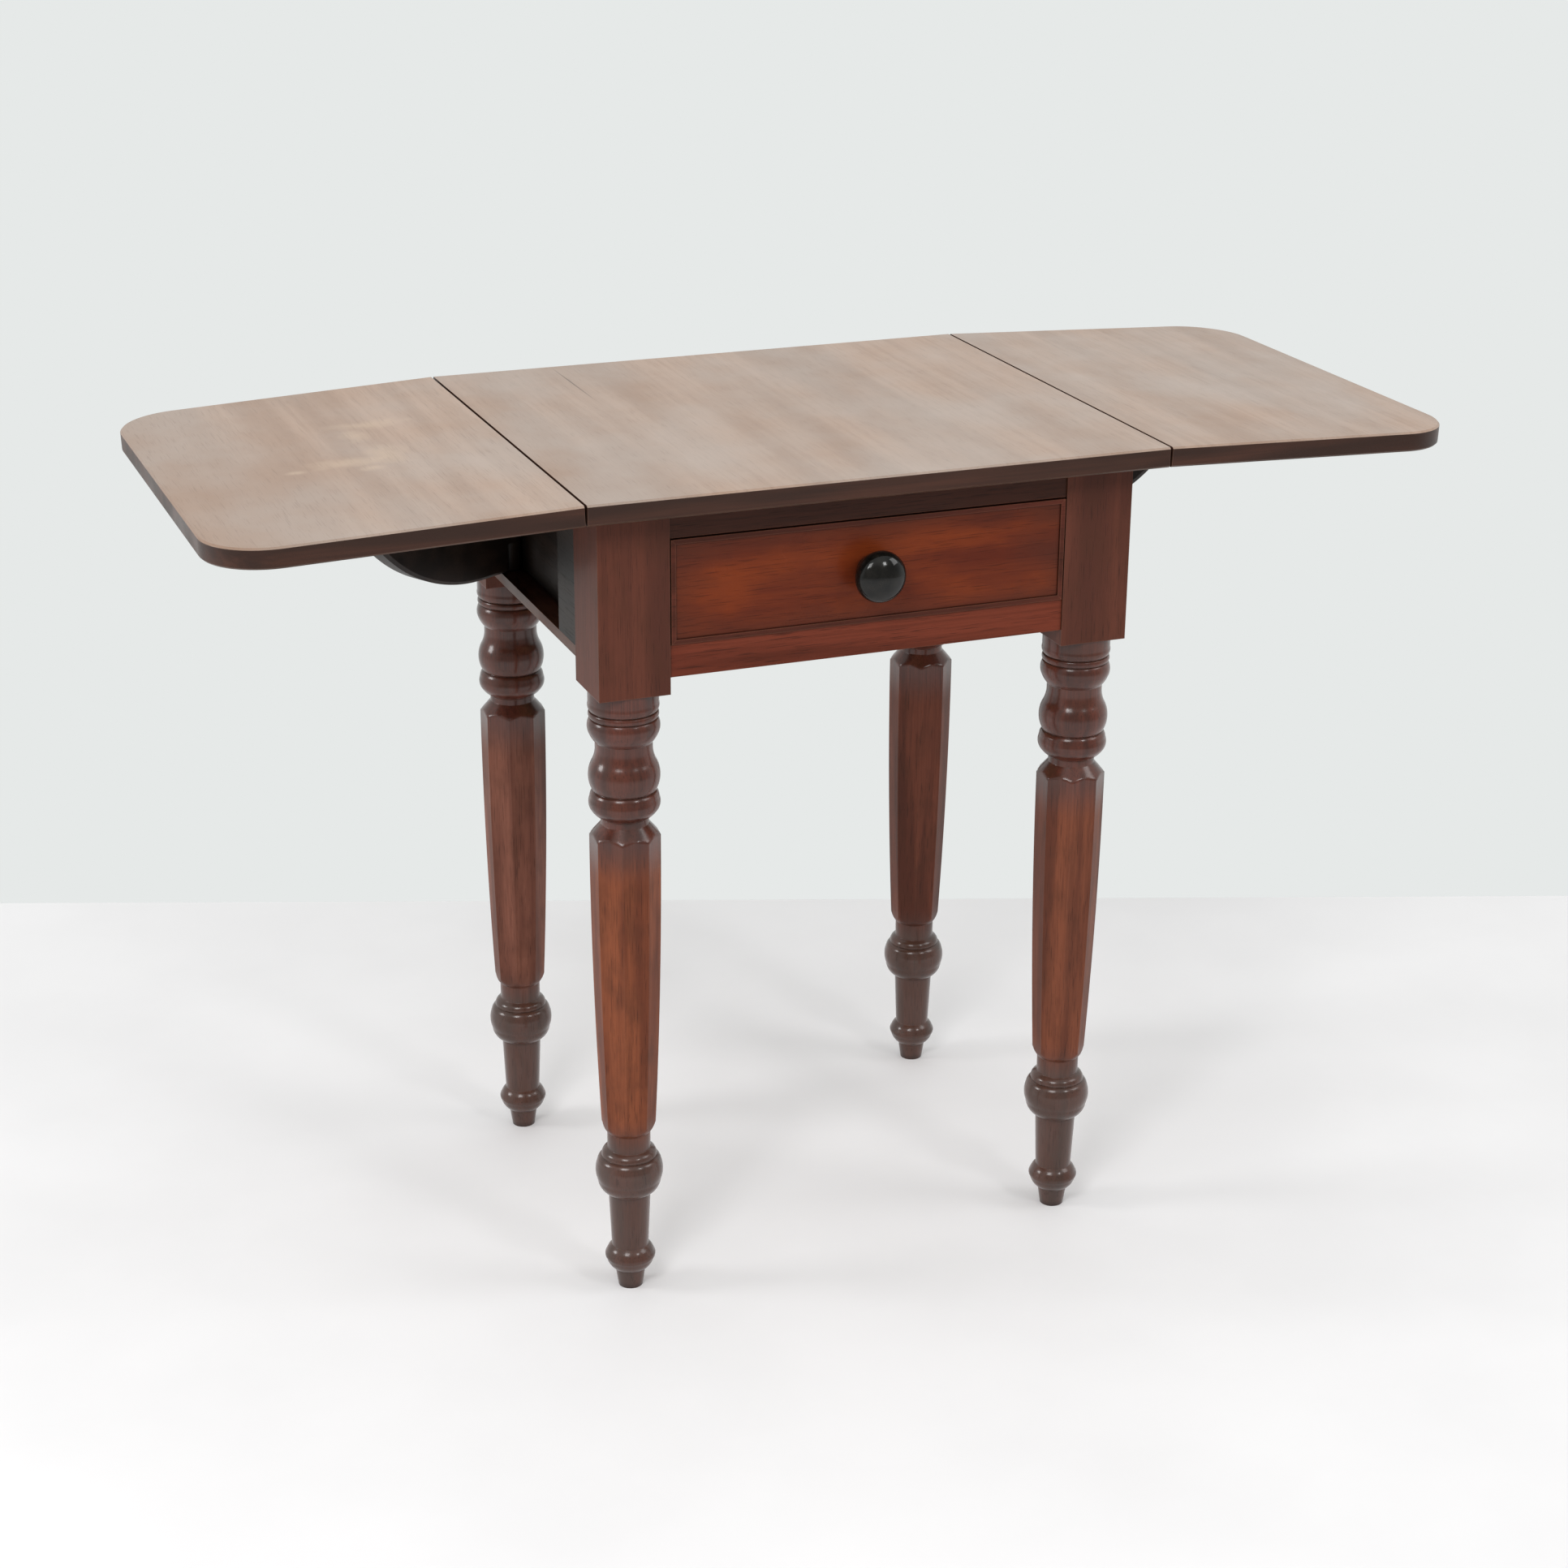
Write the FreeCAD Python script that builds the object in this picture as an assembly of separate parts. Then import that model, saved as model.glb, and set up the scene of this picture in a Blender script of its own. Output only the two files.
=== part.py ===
# A drop-leaf side table of about 1840: centre top, two falling leaves on swinging
# wooden flies, one frieze drawer and four turned legs with eight-sided shafts.
# Millimetres. X runs to the right seen from the drawer, Y to the back, Z up,
# with the origin on the floor below the middle of the top.
import FreeCAD
import Part
import math
import os

V = FreeCAD.Vector

# Centre top and leaves
HEIGHT = 720.0
TOP_WIDTH = 500.0
TOP_DEPTH = 440.0
BOARD = 17.0
ARRIS = 1.5
LEAF_LENGTH = 284.0
LEAF_TAPER = 5.0
LEAF_CORNER = 55.0
SEAM = 1.6
SAG = 2.3

# Legs: the square block on top, and each turned member's height from the floor up
BLOCK = 60.0
BLOCK_DROP = 14.0
LEG_INSET = 47.0
LEG_Y = 159.0
FOOT_R = 10.5
PEG = 14.0
PEG_R = 13.4
FOOT_BEAD = 29.0
FOOT_BEAD_R = 22.1
TAPER = 48.0
TAPER_LOW_R = 16.0
TAPER_TOP_R = 18.4
ANKLE_RISE = 22.5
ANKLE_R = 28.7
ANKLE_CAP = 10.0
COVE = 17.5
NECK = 9.0
NECK_R = 18.7
FLARE = 8.0
SHAFT_LOW_R = 23.0
SHAFT_R = 29.4
SHOULDER = 20.0
THROAT_R = 20.5
RING_RISE = 15.0
RING_BACK = 9.8
RING_TOP_R = 26.1
VASE = 26.7
VASE_TURN_R = 27.5
VASE_NECK = 16.5
VASE_TOP_R = 23.2
COLLAR_RISE = 11.5
COLLAR_BACK = 10.0
GROOVE_R = 27.9
COLLAR = 23.5
SHAFT_SIDES = 8
STOCK = 2.0
TOOL_CUT = 8.0
SWELL_CUTS = 3

# Frame of rails
FRIEZE = 141.0
LOW_RAIL = 27.0
TOP_RAIL = 26.0
RAIL_SET = 1.5
SIDE_SET = 3.0
LOW_RAIL_DEPTH = 45.0
TOP_RAIL_DEPTH = 40.0
BACK_RAIL = 22.0
TENON = 25.0
TENON_THICK = 10.0
TENON_SHOULDER = 6.0
INNER_RAIL = 20.0
OUTER_LAYER = 22.0
STRIP_HEIGHT = 12.0
CHAMFER = 3.0

# Flies: wooden knuckles on a steel pin
FLY_THICK = 20.0
FLY_OPEN = 60.0
FLY_PIVOT_Y = 100.0
FLY_REACH = 164.0
FLY_FLAT = 41.0
FLY_ARC = 163.0
FLY_GAP = 1.0
FLY_BEVEL_FROM = 32.0
FLY_BEVEL = 26.0
FLY_CHAMFER = 3.0
FLY_PIN_R = 2.5
FLY_PIN_SEAT = 8.0
KNUCKLES = 5
KNUCKLE_GAP = 0.5
KNUCKLE_RELIEF = 2.6
PIN_PLAY = 0.05

# Leaf hinges, let in flush under the boards
HINGE_Y = 150.0
HINGE_LENGTH = 50.0
FLAP_WIDTH = 30.0
FLAP_THICK = 2.0
BARREL_R = 3.0
HINGE_PIN_R = 1.25
BARREL_PLAY = 0.5
HINGE_GAP = 0.3

# Drawer
DRAWER_GAP = 1.0
DRAWER_FRONT = 20.0
DRAWER_SIDE = 10.0
DRAWER_ROOM = 31.0
DRAWER_SLOPE_ROOM = 6.0
BOTTOM_THICK = 6.0
BOTTOM_UP = 8.0
GROOVE_DEEP = 5.0
RUN_PLAY = 0.3
TAIL_LAP = 14.0
TAILS = 3
TAIL_FLARE = 2.5
BEAD_WIDTH = 4.0
BEAD_OUT = 1.5
RUNNER_WIDTH = 36.0
RUNNER_THICK = 15.0
GUIDE_HEIGHT = 14.0
KICKER_WIDTH = 34.0
STOP_SHARE = 0.55
STOP_HEIGHT = 6.0
STOP_LENGTH = 30.0
STOP_DEPTH = 16.0
KNOB_R = 21.5
KNOB_OUT = 32.0
KNOB_NECK_R = 9.5
KNOB_NECK_TOP = 8.5
KNOB_FULL = 18.5
KNOB_CAP_R = 16.0
KNOB_CAP = 4.5
KNOB_FLANGE_R = 13.5
KNOB_FLANGE = 3.0
KNOB_SPIGOT_R = 7.0

# Levels and planes that several pieces share
UNDER = HEIGHT - BOARD
RAIL_LOW = UNDER - FRIEZE
OPENING_LOW = RAIL_LOW + LOW_RAIL
OPENING_TOP = UNDER - TOP_RAIL
BLOCK_LOW = RAIL_LOW - BLOCK_DROP
SHAFT_LOW = PEG + FOOT_BEAD + TAPER + ANKLE_RISE + ANKLE_CAP + COVE + NECK + FLARE
SHAFT_TOP = BLOCK_LOW - (SHOULDER + RING_RISE + RING_BACK + VASE + VASE_NECK + COLLAR_RISE
                         + COLLAR_BACK + COLLAR)
LEG_X = TOP_WIDTH / 2 - LEG_INSET
OUTER_FACE = LEG_X + BLOCK / 2 - SIDE_SET
FRONT = -LEG_Y - BLOCK / 2 + RAIL_SET
BACK = LEG_Y + BLOCK / 2 - RAIL_SET
LEG_IN_X = LEG_X - BLOCK / 2
LEG_IN_Y = LEG_Y - BLOCK / 2
HINGE_X = TOP_WIDTH / 2 + SEAM / 2
LAYER_IN = OUTER_FACE - OUTER_LAYER
RAIL_IN = LAYER_IN - INNER_RAIL
PIVOT_X = OUTER_FACE - OUTER_LAYER / 2
KNUCKLE_R = FLY_THICK / 2
STRIP_TOP = RAIL_LOW + STRIP_HEIGHT
FLY_LOW = STRIP_TOP + FLY_GAP
FLY_TOP = UNDER - FLY_GAP
RUN_TOP = OPENING_LOW
DRAWER_LOW = RUN_TOP + RUN_PLAY
DRAWER_HALF = LEG_IN_X - DRAWER_GAP
DRAWER_END = BACK - BACK_RAIL - DRAWER_ROOM


def box(x0, x1, y0, y1, z0, z1):
    return Part.makeBox(x1 - x0, y1 - y0, z1 - z0, V(x0, y0, z0))


def rod(r, base, length, axis):
    return Part.makeCylinder(r, length, base, axis)


def arc_cuts(start, mid, end):
    """Points of the short tapers that a turner's tool leaves along an arc through three points."""
    arc = Part.Arc(start, mid, end).toShape()
    return arc.discretize(max(2, round(arc.Length / TOOL_CUT)) + 1)[1:]


def turned(points, base=V(0, 0, 0), turn=None):
    """A turning about Z: points are (r, z) ends of lines, or three-point arcs (r, z, r, z)."""
    line = [V(points[0][0], 0, points[0][1])]
    for p in points[1:]:
        end = V(p[-2], 0, p[-1])
        if len(p) == 4:
            line.extend(arc_cuts(line[-1], V(p[0], 0, p[1]), end))
        else:
            line.append(end)
    solid = Part.Face(Part.makePolygon(line + line[:1])).revolve(V(0, 0, 0), V(0, 0, 1), 360)
    if turn:
        solid.rotate(V(0, 0, 0), *turn)
    solid.translate(base)
    return solid


def plate(points, base, out):
    """A flat shape of straight lines and three-point arcs, drawn out along a vector."""
    edges = []
    for i, p in enumerate(points):
        start = points[i - 1][-1]
        if len(p) == 2:
            edges.append(Part.Arc(start, p[0], p[1]).toShape())
        else:
            edges.append(Part.makeLine(start, p[0]))
    solid = Part.Face(Part.Wire(edges)).extrude(out)
    solid.translate(base)
    return solid


def mirrored(shape):
    return shape.mirror(V(0, 0, 0), V(1, 0, 0))


def arc_mid(centre, r, degrees):
    a = math.radians(degrees)
    return V(centre.x + r * math.cos(a), centre.y + r * math.sin(a), centre.z)


# The boards


def centre_top():
    half_w = TOP_WIDTH / 2
    half_d = TOP_DEPTH / 2
    board = box(-half_w, half_w, -half_d, half_d, UNDER, HEIGHT)
    ends = [e for e in board.Edges if abs(abs(e.CenterOfMass.y) - half_d) < 0.1
            and abs(e.CenterOfMass.x) < 0.1]
    board = board.makeChamfer(ARRIS, ends)
    for y in (-HINGE_Y, HINGE_Y):
        for side in (1, -1):
            seat = hinge_seat(y, -1)
            board = board.cut(seat if side == 1 else mirrored(seat))
    return board


def leaf_level():
    """The right leaf as it lies level, before it settles on its fly."""
    x0 = TOP_WIDTH / 2 + SEAM
    x1 = x0 + LEAF_LENGTH
    y0 = TOP_DEPTH / 2
    y1 = y0 - LEAF_TAPER
    r = LEAF_CORNER
    # the side runs in towards the end, and the corner arc starts where the taper leaves it
    lean = math.atan2(y0 - y1, LEAF_LENGTH)
    cy = y1 - r
    cx = x1 - r
    low = V(cx + r * math.sin(lean), -cy - r * math.cos(lean), UNDER)
    high = V(low.x, -low.y, UNDER)
    half = (90 - math.degrees(lean)) / 2
    points = [
        (V(x0, -y0, UNDER),),
        (low,),
        (arc_mid(V(cx, -cy, UNDER), r, -half), V(x1, -cy, UNDER)),
        (V(x1, cy, UNDER),),
        (arc_mid(V(cx, cy, UNDER), r, half), high),
        (V(x0, y0, UNDER),),
    ]
    board = plate(points, V(0, 0, 0), V(0, 0, BOARD))
    rim = [e for e in board.Edges if e.BoundBox.ZLength < 0.1 and e.BoundBox.XMax > x0 + 0.1]
    board = board.makeChamfer(ARRIS, rim)
    for y in (-HINGE_Y, HINGE_Y):
        board = board.cut(hinge_seat(y, 1))
    return board


# The leaf hinges. The word way is 1 for the flap on the leaf and -1 for the flap
# on the centre top, and each shape is drawn on the right-hand side of the table.


def knuckle_spans(way):
    third = HINGE_LENGTH / 3
    if way > 0:
        return [(third + HINGE_GAP, 2 * third - HINGE_GAP)]
    return [(0.0, third), (2 * third, HINGE_LENGTH)]


def flap(y, way):
    y0 = y - HINGE_LENGTH / 2
    ends = sorted([HINGE_X, HINGE_X + way * FLAP_WIDTH])
    solid = box(ends[0], ends[1], y0, y0 + HINGE_LENGTH, UNDER, UNDER + FLAP_THICK)
    clear = BARREL_R + BARREL_PLAY
    for a, b in knuckle_spans(-way):
        solid = solid.cut(box(HINGE_X - clear, HINGE_X + clear, y0 + a - HINGE_GAP, y0 + b + HINGE_GAP,
                              UNDER - clear, UNDER + clear))
    for a, b in knuckle_spans(way):
        solid = solid.fuse(rod(BARREL_R, V(HINGE_X, y0 + a, UNDER), b - a, V(0, 1, 0)))
    solid = solid.cut(rod(HINGE_PIN_R + PIN_PLAY, V(HINGE_X, y0 - 1, UNDER), HINGE_LENGTH + 2, V(0, 1, 0)))
    return solid.removeSplitter()


def hinge_seat(y, way):
    """What a hinge takes out of a board: the flap's bed and the barrel's room."""
    y0 = y - HINGE_LENGTH / 2
    ends = sorted([HINGE_X, HINGE_X + way * FLAP_WIDTH])
    seat = box(ends[0], ends[1], y0, y0 + HINGE_LENGTH, UNDER - 1, UNDER + FLAP_THICK)
    room = BARREL_R + BARREL_PLAY
    return seat.fuse(rod(room, V(HINGE_X, y0 - BARREL_PLAY, UNDER), HINGE_LENGTH + 2 * BARREL_PLAY, V(0, 1, 0)))


def settled(shape):
    """A right leaf piece turned down on the hinge line to where the leaf rests."""
    shape.rotate(V(HINGE_X, 0, UNDER), V(0, 1, 0), SAG)
    return shape


def hinge_pin(y):
    return rod(HINGE_PIN_R, V(HINGE_X, y - HINGE_LENGTH / 2, UNDER), HINGE_LENGTH, V(0, 1, 0))


# The legs


def shaft_radius(z):
    """The shaft swells on one long arc that stands upright at its top."""
    run = SHAFT_TOP - SHAFT_LOW
    fall = SHAFT_R - SHAFT_LOW_R
    big = (run * run + fall * fall) / (2 * fall)
    return SHAFT_R - big + math.sqrt(big * big - (SHAFT_TOP - z) ** 2)


def members(r, z, rises):
    """Points of stacked members: (rise, r) for a taper, (rise, r, share, r) for an arc that
    passes the second radius at that share of its rise."""
    points = [(r, z)]
    for member in rises:
        top = z + member[0]
        if len(member) == 4:
            points.append((member[3], z + member[0] * member[2], member[1], top))
        else:
            points.append((member[1], top))
        z = top
    return points


def turned_leg():
    low = members(FOOT_R, 0, [
        (PEG, PEG_R),
        (FOOT_BEAD, TAPER_LOW_R, 0.52, FOOT_BEAD_R),
        (TAPER, TAPER_TOP_R),
        (ANKLE_RISE, ANKLE_R, 0.49, ANKLE_R - 2),
        (ANKLE_CAP, ANKLE_R - 0.5),
        (COVE, NECK_R, 0.5, NECK_R + 3.8),
        (NECK, NECK_R),
        (FLARE, SHAFT_LOW_R, 0.525, SHAFT_LOW_R - 1.4),
    ])
    high = members(SHAFT_R, SHAFT_TOP, [
        (SHOULDER, THROAT_R, 0.525, SHAFT_R - 2.2),
        (RING_RISE, SHAFT_R, 0.5, SHAFT_R - 2.4),
        (RING_BACK, RING_TOP_R, 0.61, SHAFT_R - 0.9),
        (VASE, VASE_TURN_R, 0.57, SHAFT_R),
        (VASE_NECK, VASE_TOP_R, 0.5, VASE_TOP_R + 1.3),
        (COLLAR_RISE, SHAFT_R + 0.2, 0.45, SHAFT_R - 2),
        (COLLAR_BACK, GROOVE_R, 0.55, SHAFT_R - 0.2),
        (COLLAR * 0.55, SHAFT_R - 0.5, 0.5, SHAFT_R),
        (COLLAR * 0.45 + BLOCK / 2, SHAFT_R - 0.5),
    ])
    far = SHAFT_R + STOCK
    stock = [(far, SHAFT_LOW + far - SHAFT_LOW_R), (far, SHAFT_TOP + SHAFT_R - far)]
    leg = turned([(0, 0)] + low + stock + high + [(0, BLOCK_LOW + BLOCK / 2)])
    # the stock left on the shaft is planed off in flats that follow its swell and
    # die out against the turned shoulders
    share = math.cos(math.pi / SHAFT_SIDES)
    foot = SHAFT_LOW - FLARE - NECK / 2
    top = SHAFT_TOP + SHOULDER
    out = far + STOCK
    heights = [foot + (SHAFT_TOP - foot) * i / SWELL_CUTS for i in range(SWELL_CUTS + 1)]
    line = [(V(shaft_radius(z) * share, 0, z),) for z in heights]
    line += [(V(SHAFT_R * share, 0, top),), (V(out, 0, top),), (V(out, 0, foot),)]
    cutter = plate(line, V(0, -out, 0), V(0, 2 * out, 0))
    for i in range(SHAFT_SIDES):
        flat = cutter.copy()
        flat.rotate(V(0, 0, 0), V(0, 0, 1), 360.0 * i / SHAFT_SIDES)
        leg = leg.cut(flat)
    half = BLOCK / 2
    return leg.fuse(box(-half, half, -half, half, BLOCK_LOW, UNDER)).Solids[0]


def leg_at(plain, x, y, rails):
    leg = plain.copy()
    leg.translate(V(x, y, 0))
    for rail in rails:
        leg = leg.cut(rail)
    return leg


# The rails


def cross_rail(y0, y1, z0, z1):
    """A rail between two blocks, with a tenon at each end."""
    rail = box(-LEG_IN_X, LEG_IN_X, y0, y1, z0, z1)
    mid = (y0 + y1) / 2
    tongue = box(-LEG_IN_X - TENON, LEG_IN_X + TENON, mid - TENON_THICK / 2, mid + TENON_THICK / 2,
                 z0 + TENON_SHOULDER, z1 - TENON_SHOULDER)
    return rail.fuse(tongue).removeSplitter()


def low_rail():
    return cross_rail(FRONT, FRONT + LOW_RAIL_DEPTH, RAIL_LOW, OPENING_LOW)


def top_rail():
    return cross_rail(FRONT, FRONT + TOP_RAIL_DEPTH, OPENING_TOP, UNDER)


def back_rail():
    return cross_rail(BACK - BACK_RAIL, BACK, RAIL_LOW, UNDER)


def inner_rail():
    """The fixed rail of the right side, behind the layer that the fly is cut from."""
    rail = box(RAIL_IN, LAYER_IN, -LEG_IN_Y, LEG_IN_Y, RAIL_LOW, UNDER)
    mid = (RAIL_IN + LAYER_IN) / 2
    gap = (OPENING_TOP - OPENING_LOW) / 2
    centre = (OPENING_TOP + OPENING_LOW) / 2
    tongue = box(mid - TENON_THICK / 2, mid + TENON_THICK / 2, -LEG_IN_Y - TENON, LEG_IN_Y + TENON,
                 centre - gap + TENON_SHOULDER, centre + gap - TENON_SHOULDER)
    return rail.fuse(tongue).removeSplitter()


def bed_strip():
    """The strip left of the outer layer below the fly, with its lower corner taken off."""
    strip = box(LAYER_IN, OUTER_FACE, -LEG_IN_Y, LEG_IN_Y, RAIL_LOW, STRIP_TOP)
    corner = [e for e in strip.Edges if abs(e.CenterOfMass.x - OUTER_FACE) < 0.1
              and abs(e.CenterOfMass.z - RAIL_LOW) < 0.1]
    strip = strip.makeChamfer(CHAMFER, corner)
    return strip.cut(fly_pin())


def end_block():
    """The piece of the outer layer between the fly's nose and the front leg."""
    nose = FLY_PIVOT_Y - FLY_REACH - OUTER_LAYER / 2 - FLY_GAP
    return box(LAYER_IN, OUTER_FACE, -LEG_IN_Y, nose, STRIP_TOP, UNDER)


# The flies


def knuckle_bands(part):
    """Heights of the knuckles that belong to the fly (part 1) or to its fixed block (part 0)."""
    step = (FLY_TOP - FLY_LOW) / KNUCKLES
    bands = []
    for i in range(KNUCKLES):
        if i % 2 == part:
            bands.append((FLY_LOW + i * step + KNUCKLE_GAP / 2, FLY_LOW + (i + 1) * step - KNUCKLE_GAP / 2))
    return bands


def fly_pin():
    return rod(FLY_PIN_R, V(PIVOT_X, FLY_PIVOT_Y, FLY_LOW - FLY_PIN_SEAT), FLY_TOP - FLY_LOW + FLY_PIN_SEAT,
               V(0, 0, 1))


def knuckled(body, part, y0, y1):
    """Gives a body, which runs from y0 to y1, its own knuckles and room for the other's."""
    half = FLY_THICK / 2
    room = KNUCKLE_R + KNUCKLE_RELIEF
    step = (FLY_TOP - FLY_LOW) / KNUCKLES
    body = body.cut(box(PIVOT_X - room, PIVOT_X + room, FLY_PIVOT_Y - room, FLY_PIVOT_Y + room, RAIL_LOW, HEIGHT))
    for low, high in knuckle_bands(part):
        body = body.fuse(rod(KNUCKLE_R, V(PIVOT_X, FLY_PIVOT_Y, low), high - low, V(0, 0, 1)))
        body = body.fuse(box(PIVOT_X - half, PIVOT_X + half, y0, y1, low, high))
    hole = rod(FLY_PIN_R + PIN_PLAY, V(PIVOT_X, FLY_PIVOT_Y, FLY_LOW - step), HEIGHT, V(0, 0, 1))
    return body.cut(hole).removeSplitter()


def hinge_block():
    """The fixed half of the knuckle joint, glued to the inner rail beside the rear leg."""
    body = box(LAYER_IN, OUTER_FACE, FLY_PIVOT_Y, LEG_IN_Y, STRIP_TOP, UNDER)
    return knuckled(body, 0, FLY_PIVOT_Y, LEG_IN_Y)


def fly_closed():
    """The right fly folded into the side: a quarter-round bracket that runs to the front."""
    half = FLY_THICK / 2
    nose = FLY_PIVOT_Y - FLY_REACH
    flat = FLY_PIVOT_Y - FLY_FLAT
    drop = math.tan(math.radians(FLY_BEVEL))

    def bevel_z(reach):
        return FLY_TOP - (reach - FLY_BEVEL_FROM) * drop

    def curve_z(reach):
        return FLY_LOW + FLY_ARC - math.sqrt(FLY_ARC ** 2 - (reach - FLY_FLAT) ** 2)

    mid = (FLY_FLAT + FLY_REACH) / 2
    outline = [
        (V(0, FLY_PIVOT_Y, FLY_LOW),),
        (V(0, flat, FLY_LOW),),
        (V(0, FLY_PIVOT_Y - mid, curve_z(mid)), V(0, nose, curve_z(FLY_REACH))),
        (V(0, nose, bevel_z(FLY_REACH)),),
        (V(0, FLY_PIVOT_Y - FLY_BEVEL_FROM, FLY_TOP),),
        (V(0, FLY_PIVOT_Y, FLY_TOP),),
    ]
    fly = plate(outline, V(PIVOT_X - half, 0, 0), V(FLY_THICK, 0, 0))
    # the finger chamfer along the lower edge of the face that lies against the table
    grip = [e for e in fly.Edges if e.BoundBox.XMax < PIVOT_X and e.BoundBox.YLength > 1
            and e.BoundBox.ZMin < FLY_LOW + 1]
    fly = fly.makeChamfer(FLY_CHAMFER, grip)
    return knuckled(fly, 1, FLY_PIVOT_Y - KNUCKLE_R - KNUCKLE_RELIEF - half, FLY_PIVOT_Y)


def fly_open():
    fly = fly_closed()
    fly.rotate(V(PIVOT_X, FLY_PIVOT_Y, 0), V(0, 0, 1), FLY_OPEN)
    return fly


# What carries the drawer


def between_legs(width, y0, z0, z1):
    """A right-hand strip from a front rail to the back rail, let in around the leg blocks."""
    strip = box(RAIL_IN - width, LEG_IN_X, y0, BACK - BACK_RAIL, z0, z1)
    return strip.fuse(box(LEG_IN_X, RAIL_IN, -LEG_IN_Y, LEG_IN_Y, z0, z1)).removeSplitter()


def runner():
    return between_legs(RUNNER_WIDTH, FRONT + LOW_RAIL_DEPTH, RUN_TOP - RUNNER_THICK, RUN_TOP)


def guide():
    return box(LEG_IN_X, RAIL_IN, -LEG_IN_Y, LEG_IN_Y, RUN_TOP, RUN_TOP + GUIDE_HEIGHT)


def kicker():
    return between_legs(KICKER_WIDTH, FRONT + TOP_RAIL_DEPTH, OPENING_TOP, UNDER)


def stops():
    y0 = FRONT + DRAWER_FRONT + RUN_PLAY
    return [box(x - STOP_LENGTH / 2, x + STOP_LENGTH / 2, y0, y0 + STOP_DEPTH, RUN_TOP, RUN_TOP + STOP_HEIGHT)
            for x in (-STOP_SHARE * DRAWER_HALF, STOP_SHARE * DRAWER_HALF)]


# The drawer


def tails(x0, x1):
    """Dovetails of one drawer side, lapped into the back of the drawer front."""
    low = DRAWER_LOW
    high = OPENING_TOP - DRAWER_SLOPE_ROOM
    pitch = (high - low) / TAILS
    y0 = FRONT + DRAWER_FRONT - TAIL_LAP
    y1 = FRONT + DRAWER_FRONT
    found = []
    for i in range(TAILS):
        mid = low + (i + 0.5) * pitch
        wide = pitch * 0.36
        slim = wide - TAIL_FLARE
        tail = [(V(x0, y0, mid - wide),), (V(x0, y0, mid + wide),), (V(x0, y1, mid + slim),),
                (V(x0, y1, mid - slim),)]
        found.append(plate(tail, V(0, 0, 0), V(x1 - x0, 0, 0)))
    return found


def drawer_side():
    x1 = DRAWER_HALF
    x0 = x1 - DRAWER_SIDE
    y1 = DRAWER_END
    side = box(x0, x1, FRONT + DRAWER_FRONT, y1, DRAWER_LOW, OPENING_TOP - DRAWER_SLOPE_ROOM)
    for tail in tails(x0, x1):
        side = side.fuse(tail)
    return side.cut(drawer_bottom()).removeSplitter()


def drawer_bottom():
    """The bottom board, slid in from behind below the drawer back."""
    half = DRAWER_HALF - DRAWER_SIDE + GROOVE_DEEP
    low = DRAWER_LOW + BOTTOM_UP
    return box(-half, half, FRONT + DRAWER_FRONT - GROOVE_DEEP, DRAWER_END, low, low + BOTTOM_THICK)


def drawer_back():
    y1 = DRAWER_END
    half = DRAWER_HALF - DRAWER_SIDE
    return box(-half, half, y1 - DRAWER_SIDE, y1, DRAWER_LOW + BOTTOM_UP + BOTTOM_THICK,
               OPENING_TOP - DRAWER_SLOPE_ROOM)


def drawer_front():
    front = box(-DRAWER_HALF, DRAWER_HALF, FRONT, FRONT + DRAWER_FRONT, DRAWER_LOW, OPENING_TOP - DRAWER_GAP)
    for tail in tails(DRAWER_HALF - DRAWER_SIDE, DRAWER_HALF):
        front = front.cut(tail).cut(mirrored(tail))
    for bead in beads():
        front = front.cut(bead)
    return front.cut(drawer_bottom()).cut(knob()).removeSplitter()


def beads():
    """Four mitred strips let into the edge of the drawer front, a little proud of it."""
    x = DRAWER_HALF
    z0 = DRAWER_LOW
    z1 = OPENING_TOP - DRAWER_GAP
    w = BEAD_WIDTH
    y0 = FRONT - BEAD_OUT
    deep = V(0, BEAD_OUT + w, 0)
    outer = [V(-x, y0, z0), V(x, y0, z0), V(x, y0, z1), V(-x, y0, z1)]
    inner = [V(-x + w, y0, z0 + w), V(x - w, y0, z0 + w), V(x - w, y0, z1 - w), V(-x + w, y0, z1 - w)]
    found = []
    for i in range(4):
        j = (i + 1) % 4
        corners = [(outer[i],), (outer[j],), (inner[j],), (inner[i],)]
        found.append(plate(corners, V(0, 0, 0), deep))
    return found


def knob():
    """A black turned knob with a flange, a neck and a flattened ball, on a glued spigot."""
    cap = (KNOB_CAP_R ** 2 + KNOB_CAP ** 2) / (2 * KNOB_CAP)
    cap_low = KNOB_OUT - KNOB_CAP
    half = math.asin(KNOB_CAP_R / cap) / 2
    points = [
        (0, -DRAWER_FRONT * 0.8), (KNOB_SPIGOT_R, -DRAWER_FRONT * 0.8), (KNOB_SPIGOT_R, 0),
        (KNOB_FLANGE_R, 0), (KNOB_FLANGE_R, KNOB_FLANGE), (KNOB_NECK_R, KNOB_FLANGE + 1.5),
        (KNOB_NECK_R, KNOB_NECK_TOP),
        (KNOB_R, KNOB_FULL, KNOB_CAP_R, cap_low),
        (cap * math.sin(half), KNOB_OUT - cap + cap * math.cos(half), 0, KNOB_OUT),
    ]
    centre = (DRAWER_LOW + OPENING_TOP - DRAWER_GAP) / 2
    return turned(points, V(0, FRONT, centre), (V(1, 0, 0), 90))


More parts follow.
